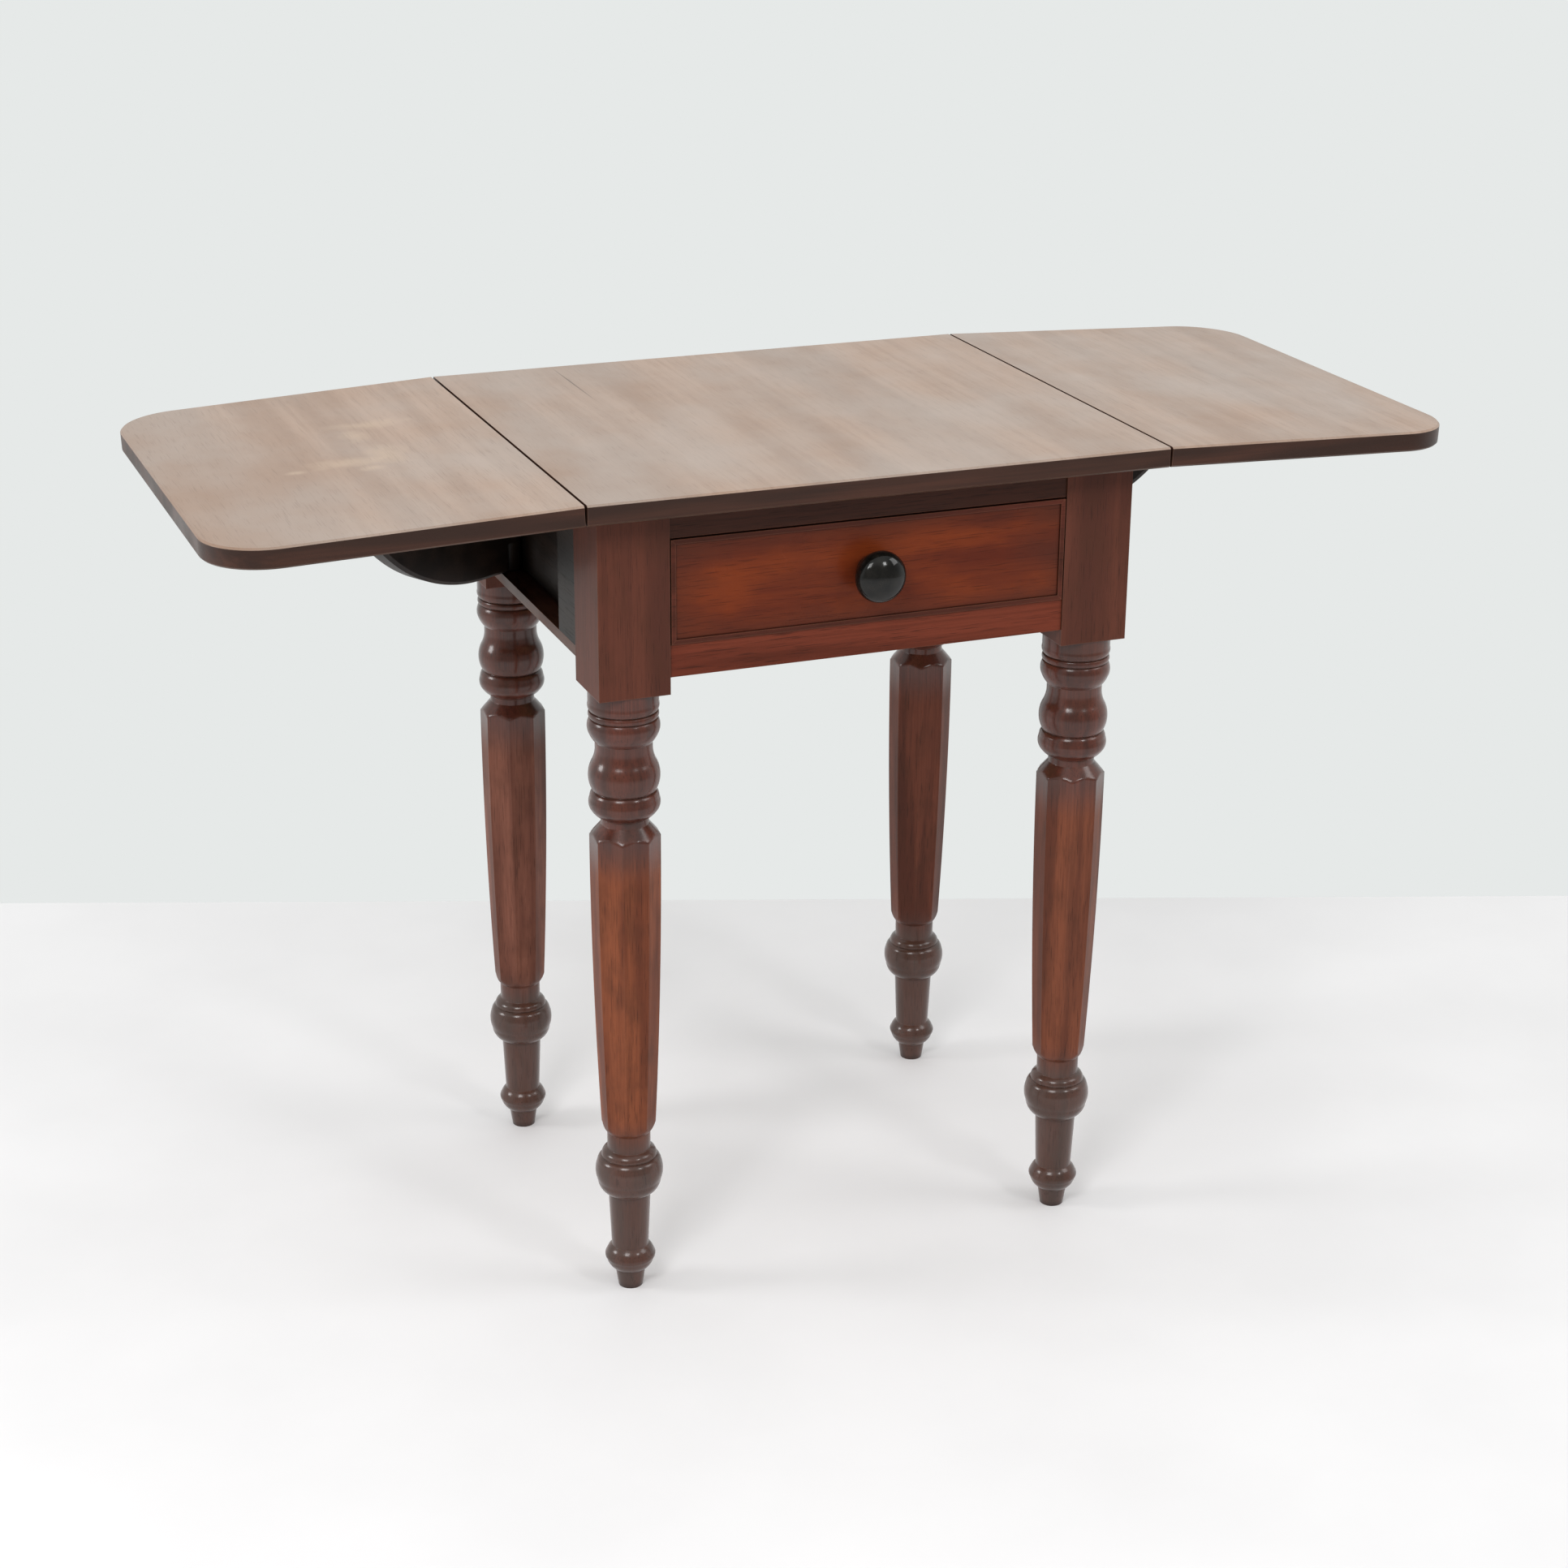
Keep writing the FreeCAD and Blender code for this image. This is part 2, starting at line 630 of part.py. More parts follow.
def build():
    parts = {}
    rails = {"low_rail": low_rail(), "top_rail": top_rail(), "back_rail": back_rail(),
             "inner_rail_right": inner_rail()}
    rails["inner_rail_left"] = mirrored(rails["inner_rail_right"])
    parts.update(rails)
    plain = turned_leg()
    for name_x, sx in (("left", -1), ("right", 1)):
        side_rail = rails["inner_rail_" + name_x]
        front = [rails["low_rail"], rails["top_rail"], side_rail]
        parts["leg_front_" + name_x] = leg_at(plain, sx * LEG_X, -LEG_Y, front)
        parts["leg_rear_" + name_x] = leg_at(plain, sx * LEG_X, LEG_Y, [rails["back_rail"], side_rail])
    parts["centre_top"] = centre_top()
    parts["leaf_right"] = settled(leaf_level())
    parts["bed_strip_right"] = bed_strip()
    parts["end_block_right"] = end_block()
    parts["hinge_block_right"] = hinge_block()
    parts["fly_right"] = fly_open()
    parts["fly_pin_right"] = fly_pin()
    parts["runner_right"] = runner()
    parts["guide_right"] = guide()
    parts["kicker_right"] = kicker()
    places = (-HINGE_Y, HINGE_Y)
    parts["leaf_flaps_right"] = Part.makeCompound([settled(flap(y, 1)) for y in places])
    parts["drawer_side_right"] = drawer_side()
    for name in [n for n in parts if n.endswith("_right")]:
        twin = name[:-5] + "left"
        if twin not in parts:
            parts[twin] = mirrored(parts[name])
    flaps = [flap(y, -1) for y in places]
    pins = [hinge_pin(y) for y in places]
    parts["top_flaps"] = Part.makeCompound(flaps + [mirrored(f) for f in flaps])
    parts["hinge_pins"] = Part.makeCompound(pins + [mirrored(p) for p in pins])
    parts["drawer_stops"] = Part.makeCompound(stops())
    parts["drawer_front"] = drawer_front()
    parts["drawer_beads"] = Part.makeCompound(beads())
    parts["drawer_back"] = drawer_back()
    parts["drawer_bottom"] = drawer_bottom()
    parts["drawer_knob"] = knob()
    return parts


os.makedirs("parts", exist_ok=True)
for node, shape in build().items():
    shape.exportStep("parts/" + node + ".step")
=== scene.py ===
# %% [markdown]
# # A drop-leaf side table in old mahogany
#
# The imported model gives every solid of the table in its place: three boards, four turned
# legs, a frame of rails, a drawer, and two wooden flies that hold the leaves up. This
# lesson turns the legs and the knob afresh with all their fine members, adds the screws,
# gives each piece the wood or metal that it is made of, and sets up the floor, the light
# and the camera. Everything is in metres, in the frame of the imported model.

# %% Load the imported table
import math

import bmesh
import bpy
from mathutils import Matrix, Vector


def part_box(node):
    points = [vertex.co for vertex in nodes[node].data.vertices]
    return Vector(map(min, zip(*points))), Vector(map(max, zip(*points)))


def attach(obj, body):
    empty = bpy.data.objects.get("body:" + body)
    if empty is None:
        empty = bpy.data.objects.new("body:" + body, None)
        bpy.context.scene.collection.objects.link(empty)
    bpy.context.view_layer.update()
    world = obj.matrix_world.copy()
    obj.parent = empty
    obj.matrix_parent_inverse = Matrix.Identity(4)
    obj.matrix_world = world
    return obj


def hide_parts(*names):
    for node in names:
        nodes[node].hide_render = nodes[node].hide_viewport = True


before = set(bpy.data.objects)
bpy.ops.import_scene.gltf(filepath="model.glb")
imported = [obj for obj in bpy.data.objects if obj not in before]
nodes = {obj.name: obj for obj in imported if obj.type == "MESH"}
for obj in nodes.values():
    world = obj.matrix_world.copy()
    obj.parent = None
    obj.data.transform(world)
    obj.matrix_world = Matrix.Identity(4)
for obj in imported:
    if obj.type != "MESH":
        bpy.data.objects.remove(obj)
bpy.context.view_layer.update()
X, Y, Z = 0, 1, 2
MM = 0.001

# %% [markdown]
# ## Small tools for node materials
#
# A material is a tree of nodes. Colours are written as they look on a screen and turned
# into linear light in one place. `add` makes one node, sets what is a plain value and links
# what comes from another node. Two things come back in every wood: a mask of soft marks of
# a real size, made from noise, and a colour laid over another where a mask says so. All of
# it reads the piece's own coordinates, so the grain keeps its scale and moves with the piece.


# %% Node tools
def colour(code):
    """A screen colour such as "#a08060" as linear red, green, blue and alpha."""
    parts = [int(code[i:i + 2], 16) / 255 for i in (1, 3, 5)]
    return [c / 12.92 if c <= 0.04045 else ((c + 0.055) / 1.055) ** 2.4 for c in parts] + [1.0]


def add(tree, kind, inputs=None, **settings):
    """One shader node, with its settings, its plain input values and its links."""
    node = tree.nodes.new("ShaderNode" + kind)
    for name, value in settings.items():
        setattr(node, name, value)
    for key, value in (inputs or {}).items():
        if isinstance(value, bpy.types.NodeSocket):
            tree.links.new(value, node.inputs[key])
        else:
            node.inputs[key].default_value = colour(value) if isinstance(value, str) else value
    return node


def new_material(name):
    material = bpy.data.materials.new(name)
    material.use_nodes = True
    material.node_tree.nodes.clear()
    return material, material.node_tree


def marks(tree, size, low, high, detail=4.0, shift=0.0):
    """A mask of soft marks of about this size, in millimetres along X, Y and Z."""
    where = add(tree, "TexCoord").outputs["Object"]
    scaled = add(tree, "Mapping", {"Vector": where, "Location": (shift, shift, shift),
                                   "Scale": [1 / (s * MM) for s in size]}).outputs[0]
    noise = add(tree, "TexNoise", {"Vector": scaled, "Scale": 1.0, "Detail": detail}).outputs[0]
    return add(tree, "MapRange", {"Value": noise, "From Min": low, "From Max": high},
               interpolation_type="SMOOTHSTEP").outputs[0]


def along(axis, across, length):
    """The size of a mark that is long on one axis and narrow on the other two."""
    size = [across, across, across]
    size[axis] = length
    return size


def stain(tree, below, above, mask, strength):
    """Lays a colour over the one below it where the mask is 1, at this strength."""
    share = add(tree, "Math", {0: mask, 1: strength}, operation="MULTIPLY").outputs[0]
    return add(tree, "Mix", {0: share, 6: below, 7: above}, data_type="RGBA").outputs[2]


def band(tree, output, axis, low, high):
    """A mask that goes from 0 to 1 as the place or the normal goes from low to high on an axis."""
    value = add(tree, "SeparateXYZ", {0: add(tree, "TexCoord").outputs[output]}).outputs[axis]
    return add(tree, "MapRange", {"Value": value, "From Min": low, "From Max": high},
               interpolation_type="SMOOTHSTEP").outputs[0]


print("node tools ready")

# %% [markdown]
# ## Wood under old polish
#
# Mahogany is built up as it is seen: broad streaks of figure along the grain, a finer
# ribbon in between, and short dark pores. Grooves and inner corners, which ambient occlusion
# finds, are painted darker: painted shade, with the dirt that gathers where a cloth can't
# reach. Hands rub the edges pale, which a bevelled normal finds. The polish is worn shellac:
# it shines softly, more on round members than on flat ones, and reflects less than a fresh
# coat would, so the specular level is kept low.


# %% Wood tools
def figured(tree, axis, light, dark, width, shift):
    """The colour of figured wood with streaks of this width in millimetres, and its pores."""
    broad = marks(tree, along(axis, width, width * 14), 0.36, 0.64, 3.0, shift)
    ribbon = marks(tree, along(axis, width / 9, width * 6), 0.42, 0.68, 4.0, shift)
    pores = marks(tree, along(axis, 0.9, 26.0), 0.56, 0.70, 2.0, shift)
    wood = stain(tree, light, dark, broad, 1.0)
    return stain(tree, wood, dark, ribbon, 0.45), pores


def rubbed_edges(tree, radius):
    """A mask that is 1 on the sharp edges of a piece and 0 on its flat faces."""
    soft = add(tree, "Bevel", {"Radius": radius}, samples=6).outputs[0]
    hard = add(tree, "NewGeometry").outputs["Normal"]
    dot = add(tree, "VectorMath", {0: soft, 1: hard}, operation="DOT_PRODUCT").outputs["Value"]
    return add(tree, "MapRange", {"Value": dot, "From Min": 0.985, "From Max": 0.86}).outputs[0]


def groove_shade_and_dirt(tree, reach):
    """A mask that is 1 deep in a groove or an inner corner and 0 on an open face, from ambient occlusion:
    painted shade there, with some dirt.
    """
    free = add(tree, "AmbientOcclusion", {"Distance": reach}, samples=8).outputs["AO"]
    return add(tree, "MapRange", {"Value": free, "From Min": 0.8, "From Max": 0.35}).outputs[0]


ARRIS_SOFT = 0.6 * MM
PORE_DEEP = 0.2 * MM


def polish(tree, base, pores, dull, rough, gloss, coat):
    """Old shellac: roughness goes from the first value to the second where the mask is dull."""
    uneven = add(tree, "MapRange", {"Value": dull, "To Min": rough[0], "To Max": rough[1]}).outputs[0]
    soft = add(tree, "Bevel", {"Radius": ARRIS_SOFT}, samples=4).outputs[0]
    bump = add(tree, "Bump", {"Height": pores, "Strength": 0.25, "Distance": PORE_DEEP, "Normal": soft},
               invert=True).outputs[0]
    shader = add(tree, "BsdfPrincipled", {
        "Base Color": base, "Roughness": uneven, "Specular IOR Level": gloss, "Coat Weight": coat,
        "Coat Roughness": 0.18, "Normal": bump, "Coat Normal": soft})
    add(tree, "OutputMaterial", {"Surface": shader.outputs[0]})


print("wood tools ready")

# %% [markdown]
# ### The three boards
#
# The boards have faded on top to a greyish brown. Their pale grey is also a painted sheen:
# the reflection of the pale wall is laid into the colour of faces that point up, with paler
# grey blotches of painted sheen. Edges and undersides stay dark, so the material asks which
# way a face points. The grain runs from front to back, along the seams. The left leaf has
# blotches where the finish has worn to pale wood. They could be painted, but a few ovals
# with a rim broken up by noise stay the same at any size.


# %% Boards
PALE_SPOTS = (((-0.347, 0.089), (0.033, 0.014)), ((-0.361, 0.062), (0.013, 0.020)),
              ((-0.386, -0.018), (0.030, 0.014)), ((-0.352, -0.008), (0.016, 0.032)),
              ((-0.430, -0.028), (0.009, 0.006)), ((-0.370, -0.041), (0.011, 0.007)))
CRACK = (((-0.142, 0.150), (0.0007, 0.058)),)


def oval(tree, middle, radii, ragged):
    """A mask that is 1 inside an oval lying on a board, with its rim broken up by noise."""
    where = add(tree, "TexCoord").outputs["Object"]
    spread = add(tree, "Mapping", {
        "Vector": where, "Scale": (1 / radii[X], 1 / radii[Y], 0.0),
        "Location": (-middle[X] / radii[X], -middle[Y] / radii[Y], 0.0)}).outputs[0]
    far = add(tree, "VectorMath", {0: spread}, operation="LENGTH").outputs["Value"]
    noise = marks(tree, (26.0, 26.0, 26.0), 0.0, 1.0, 5.0)
    pushed = add(tree, "Math", {0: noise, 1: ragged, 2: far}, operation="MULTIPLY_ADD").outputs[0]
    return add(tree, "MapRange", {"Value": pushed, "From Min": 0.7 + ragged / 2 + 0.5,
                                  "From Max": 0.7 + ragged / 2 - 0.5}).outputs[0]


def faded_board_with_painted_sheen(name, shift, spots=(), cracks=()):
    material, tree = new_material(name)
    # the pale greyish top colour: faded wood with a painted sheen, the pale wall's reflection
    top, pores = figured(tree, Y, "#b19684", "#9e8371", 46.0, shift)
    # paler grey blotches of painted sheen
    sheen_blotches = marks(tree, (130.0, 170.0, 130.0), 0.35, 0.7, 4.0, shift + 5)
    top = stain(tree, top, "#ada199", sheen_blotches, 0.5)
    for middle, radii in spots:
        top = stain(tree, top, "#c9b098", oval(tree, middle, radii, 1.4), 0.42)
    for middle, radii in cracks:
        top = stain(tree, top, "#2e211a", oval(tree, middle, radii, 0.3), 0.8)
    top = stain(tree, top, "#5c4638", pores, 0.2)
    edge, _ = figured(tree, X, "#45291e", "#301d15", 20.0, shift)
    # pale arris: wear, and a painted highlight along the edge
    edge = stain(tree, edge, "#8a6a56", rubbed_edges(tree, 1.2 * MM), 0.25)
    below, _ = figured(tree, Y, "#5a4030", "#46301f", 40.0, shift)
    # faces that point up, and the rounded edges that catch the light, take the top colour with its painted
    # sheen
    base = stain(tree, edge, top, band(tree, "Normal", Z, 0.3, 0.8), 1.0)
    base = stain(tree, base, below, band(tree, "Normal", Z, -0.5, -0.9), 1.0)
    smears = marks(tree, (55.0, 80.0, 55.0), 0.2, 0.8, 5.0, shift)
    polish(tree, base, pores, smears, (0.28, 0.46), 0.22, 0.06)
    return material


BOARDS = {"centre_top": faded_board_with_painted_sheen("mahogany_faded_painted_sheen_centre", 1.0, cracks=CRACK),
          "leaf_left": faded_board_with_painted_sheen("mahogany_faded_painted_sheen_left_leaf", 12.0, spots=PALE_SPOTS),
          "leaf_right": faded_board_with_painted_sheen("mahogany_faded_painted_sheen_right_leaf", 23.0)}
print("boards:", sorted(BOARDS))

# %% [markdown]
# ### Legs and rails
#
# The frame is darker and redder than the boards. On the legs the eight-sided shafts are
# rubbed to a warm brown and look dull. The turned members shine and are nearly black in their
# grooves, which is painted shade with some dirt. Those near the floor are grey, partly with
# dust and partly with a painted sheen. The square block is plain again. A leg is one stick,
# so one material does all this, and masks by height tell its parts apart.


# %% Frame woods
SHAFT_TOP = 421.0 * MM
BLOCK_LOW = 548.0 * MM
NECK_LOW = 132.0 * MM
FADE = 40.0 * MM


def frame_wood(name, axis, light, dark, shift):
    material, tree = new_material(name)
    base, pores = figured(tree, axis, light, dark, 26.0, shift)
    base = stain(tree, base, "#1c0f0a", pores, 0.5)
    # grooves and inner corners painted darker: painted shade, with some dirt
    base = stain(tree, base, "#140c08", groove_shade_and_dirt(tree, 9 * MM), 0.85)
    base = stain(tree, base, "#8a5a44", rubbed_edges(tree, 1.6 * MM), 0.3)
    smears = marks(tree, (55.0, 55.0, 55.0), 0.2, 0.8, 5.0, shift)
    polish(tree, base, pores, smears, (0.28, 0.45), 0.1, 0.05)
    return material


def leg_wood(name, light, dark, shift):
    material, tree = new_material(name)
    shaft, pores = figured(tree, Z, light, dark, 17.0, shift)
    turned, _ = figured(tree, Z, "#5c3025", "#3d211a", 17.0, shift)
    # grey near the floor: dust, and a painted sheen of the pale surroundings
    near_floor = band(tree, "Object", Z, NECK_LOW + FADE, NECK_LOW)
    turned = stain(tree, turned, "#4b3f38", near_floor, 0.5)
    above = band(tree, "Object", Z, NECK_LOW, NECK_LOW + FADE)
    below = band(tree, "Object", Z, SHAFT_TOP + 5 * MM, SHAFT_TOP - FADE)
    on_shaft = add(tree, "Math", {0: above, 1: below}, operation="MULTIPLY").outputs[0]
    base = stain(tree, turned, shaft, on_shaft, 1.0)
    block, _ = figured(tree, Z, "#5f3427", "#4e2a20", 30.0, shift)
    on_block = band(tree, "Object", Z, BLOCK_LOW - 1 * MM, BLOCK_LOW + 1 * MM)
    base = stain(tree, base, block, on_block, 1.0)
    base = stain(tree, base, "#4a2a1d", marks(tree, (18.0, 18.0, 34.0), 0.42, 0.7, 6.0, shift), 0.4)
    base = stain(tree, base, "#1c0f0a", pores, 0.4)
    # grooves and inner corners painted darker: painted shade, with some dirt
    base = stain(tree, base, "#120b08", groove_shade_and_dirt(tree, 9 * MM), 0.7)
    base = stain(tree, base, "#8d6450", rubbed_edges(tree, 1.4 * MM), 0.2)
    flat = add(tree, "Math", {0: on_shaft, 1: on_block}, operation="MAXIMUM").outputs[0]
    coat = add(tree, "MapRange", {"Value": flat, "To Min": 0.7, "To Max": 0.1}).outputs[0]
    polish(tree, base, pores, flat, (0.3, 0.5), 0.1, coat)
    return material


print("frame woods ready, shafts from", round(NECK_LOW / MM), "to", round(SHAFT_TOP / MM), "mm")

# %% [markdown]
# ### The drawer front
#
# The drawer front glows orange. It goes dark towards its border, where the polishing cloth
# stops short. The border is measured as a share of the half width and the half height of
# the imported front, so it stays in its place if the front changes size.


# %% Drawer front
def drawer_wood(name):
    material, tree = new_material(name)
    base, pores = figured(tree, X, "#682c16", "#582212", 22.0, 2.0)
    base = stain(tree, base, "#823815", marks(tree, (90.0, 40.0, 30.0), 0.4, 0.66, 5.0, 9.0), 0.55)
    low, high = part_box("drawer_front")
    middle = (low + high) / 2
    half = (high - low) / 2
    where = add(tree, "TexCoord").outputs["Object"]
    spread = add(tree, "Mapping", {"Vector": where, "Scale": (1 / half.x, 0.0, 1 / half.z),
                                   "Location": (-middle.x / half.x, 0.0, -middle.z / half.z)}).outputs[0]
    away = add(tree, "VectorMath", {0: spread}, operation="ABSOLUTE").outputs[0]
    sides = add(tree, "SeparateXYZ", {0: away}).outputs
    ragged = marks(tree, (40.0, 40.0, 22.0), 0.0, 1.0, 5.0)
    for axis, start, end in ((X, 0.86, 1.15), (Z, 0.62, 1.2)):
        reach = add(tree, "Math", {0: ragged, 1: 0.3, 2: sides[axis]},
                    operation="MULTIPLY_ADD").outputs[0]
        rim = add(tree, "MapRange", {"Value": reach, "From Min": start, "From Max": end}).outputs[0]
        base = stain(tree, base, "#4d261b", rim, 0.75)
    base = stain(tree, base, "#2a110a", pores, 0.4)
    # grooves and inner corners painted darker: painted shade, with some dirt
    base = stain(tree, base, "#160a07", groove_shade_and_dirt(tree, 7 * MM), 0.8)
    smears = marks(tree, (55.0, 55.0, 55.0), 0.2, 0.8, 5.0)
    polish(tree, base, pores, smears, (0.24, 0.4), 0.1, 0.06)
    return material


front_low, front_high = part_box("drawer_front")
print("drawer front", [round(side / MM, 1) for side in front_high - front_low], "mm")

# %% [markdown]
# ### Plain woods, black polish and old metal
#
# What carries the drawer is plain pale wood, browned by age. The flies and the side behind
# them are coloured almost black, which paints the deep shade that the leaves throw on them.
# The knob is turned wood under black polish, which is smooth and shows small clear highlights.
# Hinges are old brass, with dull brown spots, and pins and screws are dark steel.


# %% Plain woods, black polish and old metal
def plain_wood(name, axis, light, dark, rough):
    material, tree = new_material(name)
    base, pores = figured(tree, axis, light, dark, 18.0, 4.0)
    base = stain(tree, base, dark, marks(tree, (60.0, 60.0, 60.0), 0.4, 0.75, 5.0, 8.0), 0.3)
    # grooves and inner corners painted darker: painted shade, with some dirt
    base = stain(tree, base, "#120d09", groove_shade_and_dirt(tree, 12 * MM), 0.6)
    polish(tree, base, pores, pores, (rough, rough + 0.1), 0.25, 0.0)
    return material


def black_polish(name):
    material, tree = new_material(name)
    haze = marks(tree, (9.0, 9.0, 9.0), 0.3, 0.75, 6.0)
    base = stain(tree, "#0b0b0a", "#1d1b18", haze, 1.0)
    base = stain(tree, base, "#3a2c22", rubbed_edges(tree, 1.0 * MM), 0.3)
    rough = add(tree, "MapRange", {"Value": haze, "To Min": 0.07, "To Max": 0.16}).outputs[0]
    shader = add(tree, "BsdfPrincipled", {"Base Color": base, "Roughness": rough,
                                          "Specular IOR Level": 0.3})
    add(tree, "OutputMaterial", {"Surface": shader.outputs[0]})
    return material


def old_metal(name, bright, dull, rough):
    material, tree = new_material(name)
    tarnish = marks(tree, (6.0, 6.0, 6.0), 0.4, 0.65, 6.0)
    base = stain(tree, bright, dull, tarnish, 1.0)
    scratch = marks(tree, (0.4, 14.0, 0.4), 0.2, 0.8, 2.0)
    uneven = add(tree, "MapRange", {"Value": scratch, "To Min": rough - 0.1,
                                    "To Max": rough + 0.15}).outputs[0]
    shader = add(tree, "BsdfPrincipled", {"Base Color": base, "Metallic": 1.0, "Roughness": uneven})
    add(tree, "OutputMaterial", {"Surface": shader.outputs[0]})
    return material


print("plain woods and metals ready")

# %% [markdown]
# ## Turned legs
#
# Each leg is one stick of mahogany. A square block takes the rails. Below it the turner cut
# a collar, a vase and a ring, then planed the swelling shaft to eight sides, and turned the
# ankle and the foot. The solids hold these members as short tapers. To show them round, a
# profile of true arcs is spun about the leg's axis, which is what a lathe does.
#
# Each member below has its rise and the radius at its top. An arc also has a share of its
# rise and the radius that it passes there. They run from the floor up, in millimetres.

# %% Members of the turning
FOOT_R = 10.5
SHAFT_R = 29.4
LOW_MEMBERS = {
    "peg": (16.5, 13.0),
    "foot_flank": (10.5, 20.6, 0.5, 18.4),
    "foot_bead": (6.0, 20.6, 0.5, 21.7),
    "foot_top": (7.0, 15.8, 0.5, 19.0),
    "taper": (51.0, 18.0),
    "ankle_round": (13.0, 27.2, 0.42, 24.6),
    "ankle_ring": (17.0, 27.4, 0.5, 28.9),
    "ankle_top": (5.5, 23.6, 0.5, 26.4),
    "ankle_bead": (7.5, 18.4, 0.4, 23.2),
    "neck": (15.5, 18.4),
    "flare": (8.5, 23.0, 0.5, 21.3),
}
HIGH_MEMBERS = {
    "shoulder": (11.0, 20.0),
    "throat": (5.0, 19.6),
    "ring_round": (9.0, 28.6, 0.5, 25.4),
    "ring": (9.0, 28.6, 0.5, 29.5),
    "ring_back": (6.0, 26.0, 0.5, 28.0),
    "vase": (26.0, 26.0, 0.5, 29.5),
    "vase_cove": (10.0, 23.6, 0.5, 24.3),
    "vase_neck": (6.0, 23.6),
    "collar_flank": (8.0, 28.6, 0.5, 26.6),
    "collar_ring": (13.0, 27.6, 0.45, 29.8),
    "collar_bead": (6.0, 27.6, 0.5, 28.9),
    "collar": (7.0, 28.9, 0.5, 29.2),
    "collar_top": (11.0, 28.9),
}
SCORED_LINES = (126.5, 461.0, 524.0, 530.0)
SCORE_DEEP = 0.7
SCORE_HALF = 0.8
CUT = 1.3


def arc(low, through, high):
    """The radius on the circle through three (height, radius) points, as a function of height."""
    (a, p), (b, q), (c, r) = low, through, high
    sides = Matrix(((b - a, q - p), (c - b, r - q)))
    sums = Vector((b * b - a * a + q * q - p * p, c * c - b * b + r * r - q * q)) / 2
    h, k = sides.inverted() @ sums
    reach = math.hypot(a - h, p - k)
    side = math.copysign(1.0, q - k)
    return lambda z: k + side * math.sqrt(max(reach ** 2 - (z - h) ** 2, 0.0))


def taper(low, high):
    return lambda z: low[1] + (high[1] - low[1]) * (z - low[0]) / (high[0] - low[0])


def stacked(height, radius, members):
    """Members one above the other, each as its low and high end and its radius at a height."""
    found = []
    for rise, end, *bend in members.values():
        low, high = (height, radius), (height + rise, end)
        shape = arc(low, (height + rise * bend[0], bend[1]), high) if bend else taper(low, high)
        found.append((height, height + rise, shape))
        height = height + rise
        radius = end
    return found


low_stack = stacked(0.0, FOOT_R, LOW_MEMBERS)
shaft_low, shaft_low_r = low_stack[-1][1], LOW_MEMBERS["flare"][1]
shaft_top = SHAFT_TOP / MM
high_stack = stacked(shaft_top, SHAFT_R, HIGH_MEMBERS)
block_low = high_stack[-1][1]
print("shaft from", shaft_low, "to", shaft_top, "and block from", round(block_low, 1), "mm")

# %% [markdown]
# The shaft swells on one long arc that stands upright at its top. A boolean with eight
# planes could cut its flats, but drawing in every point that stands outside a flat gives
# the same faces and keeps the rings of the mesh even. Near the shoulders the flats run out
# against the round by themselves, in eight small scallops, as they do under a plane.


# %% Spin and plane the turning
SPIN_STEPS = 64
SIDES = 8
MERGE = 0.01 * MM
CREASE = math.radians(28)


def swell(z):
    run = shaft_top - shaft_low
    fall = SHAFT_R - shaft_low_r
    big = (run * run + fall * fall) / (2 * fall)
    return SHAFT_R - big + math.sqrt(big * big - max(shaft_top - z, 0.0) ** 2)


def leg_profile():
    """The turned outline as (radius, height) points, with a fine line scored where members meet."""
    stack = low_stack + [(shaft_low, shaft_top, swell)] + high_stack
    points = {}
    for low, high, shape in stack:
        count = max(1, round((high - low) / CUT))
        heights = [low + (high - low) * i / count for i in range(count + 1)]
        for line in SCORED_LINES:
            heights += [z for z in (line - SCORE_HALF, line, line + SCORE_HALF) if low <= z <= high]
        for z in heights:
            near = max(1.0 - abs(z - line) / SCORE_HALF for line in SCORED_LINES)
            points[round(z, 2)] = shape(z) - SCORE_DEEP * max(near, 0.0)
    return [(0.0, 0.0)] + [(points[z], z) for z in sorted(points)] + [(0.0, block_low)]


def spun(points):
    """A closed turning about Z from (radius, height) points in millimetres."""
    work = bmesh.new()
    line = [work.verts.new((r * MM, 0.0, z * MM)) for r, z in points]
    edges = [work.edges.new(pair) for pair in zip(line, line[1:])]
    bmesh.ops.spin(work, geom=line + edges, cent=(0, 0, 0), axis=(0, 0, 1), angle=2 * math.pi,
                   steps=SPIN_STEPS, use_merge=True)
    bmesh.ops.remove_doubles(work, verts=work.verts, dist=MERGE)
    bmesh.ops.recalc_face_normals(work, faces=work.faces)
    return work


def plane_flats(work):
    """Draws in what stands outside the eight flats of the shaft."""
    side = 2 * math.pi / SIDES
    for vert in work.verts:
        z = vert.co.z / MM
        if shaft_low - LOW_MEMBERS["flare"][0] < z < shaft_top + HIGH_MEMBERS["shoulder"][0]:
            off = (math.atan2(vert.co.y, vert.co.x) + side / 2) % side - side / 2
            limit = swell(z) * MM * math.cos(side / 2) / math.cos(off)
            share = min(1.0, limit / vert.co.xy.length)
            vert.co = (vert.co.x * share, vert.co.y * share, vert.co.z)


turning = spun(leg_profile())
plane_flats(turning)
print("the turning has", len(turning.faces), "faces")

# %% [markdown]
# The block is taken from the imported leg, with its mortises, so that the rails still fit. It
# is cut off just above the turning and closed. Block and turning then make one object, which
# takes the place of the imported leg. Each leg has its own pair of colours for the shaft: each
# has faded in its own way, and the rear right leg is darker, which paints the shade it stands
# in under the table.


